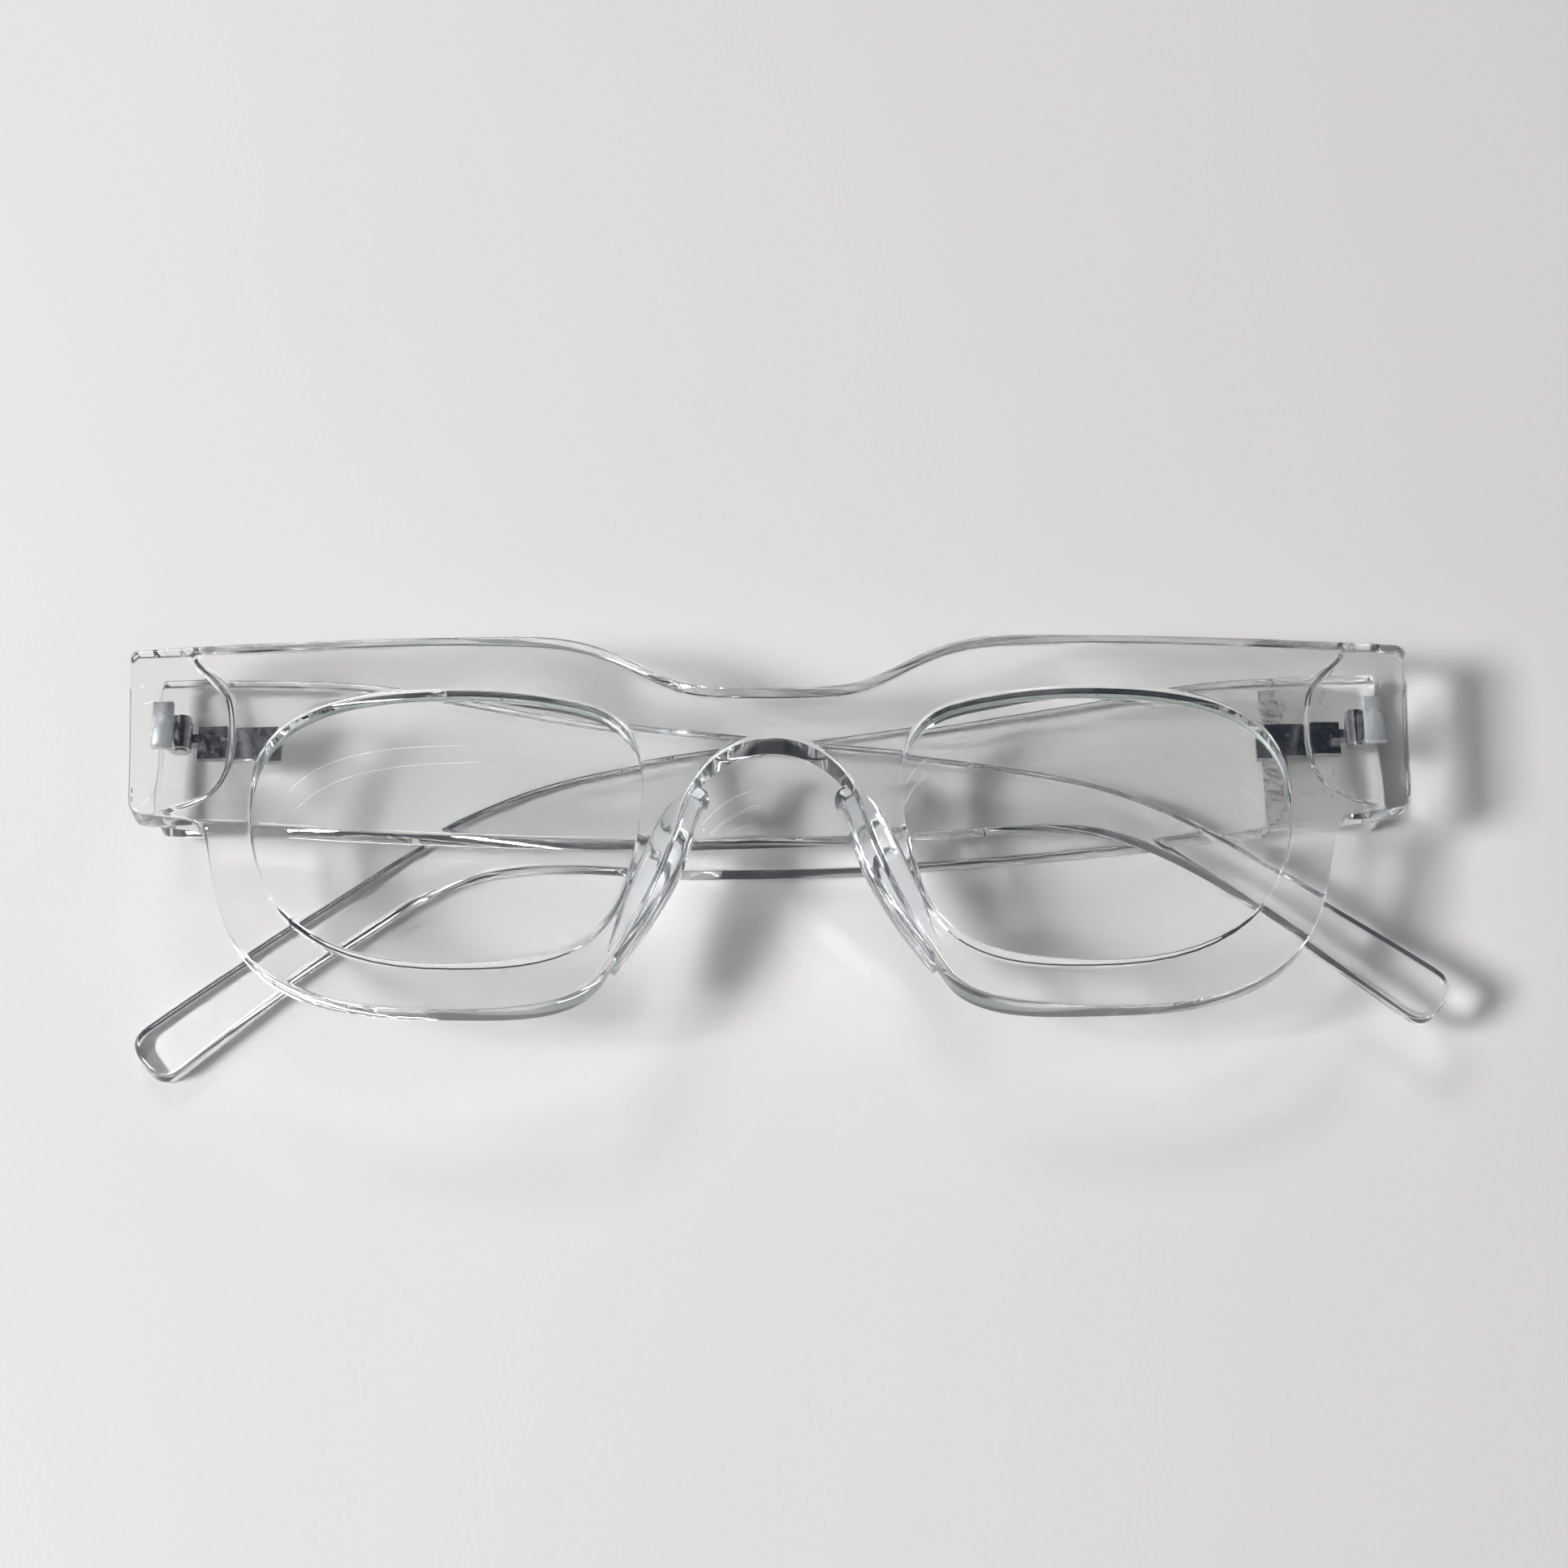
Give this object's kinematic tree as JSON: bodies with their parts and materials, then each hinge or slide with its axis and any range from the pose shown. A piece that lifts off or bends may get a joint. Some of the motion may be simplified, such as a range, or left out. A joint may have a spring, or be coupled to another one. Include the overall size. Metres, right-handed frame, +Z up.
{
  "type": "eyeglasses",
  "caption": "Chunky clear plastic eyeglasses with soft rectangular rims, glued nose pads and barrel-hinged temples with drop tips, folded and lying on their back.",
  "frame": {"origin": "centre of the box round the folded glasses, on the surface they lie on", "axes": "+Z up from the surface, out of the front's face; +X along the front, to the right as seen from its face; +Y toward the brow edge"},
  "size_m": [0.1486, 0.0474, 0.0171],
  "materials": {
    "clear_frame": "clear colourless polished plastic",
    "clear_pad": "clear colourless polished plastic, glued on",
    "lens": "clear lens with a pale green edge",
    "hinge_metal": "bright nickel plate",
    "screw_metal": "bright steel screw"
  },
  "bodies": {
    "front": {"front_frame": "clear_frame", "lens_left": "lens", "lens_right": "lens", "nose_pad_left": "clear_pad", "nose_pad_right": "clear_pad", "hinge_front_left": "hinge_metal", "hinge_front_right": "hinge_metal", "hinge_screw_left": "screw_metal", "hinge_screw_right": "screw_metal"},
    "left_temple": {"temple_left": "clear_frame", "hinge_temple_left": "hinge_metal"},
    "right_temple": {"temple_right": "clear_frame", "hinge_temple_right": "hinge_metal"}
  },
  "joints": [
    {"name": "temple_left_open", "type": "hinge", "parent": "front", "child": "left_temple", "pos_m": [-0.06859, 0.01452, 0.00862], "axis": [0, 1, 0], "range_deg": [0, 92.1]},
    {"name": "temple_right_open", "type": "hinge", "parent": "front", "child": "right_temple", "pos_m": [0.06618, 0.01452, 0.0058], "axis": [0, -1, 0], "range_deg": [0, 88.8]}
  ]
}
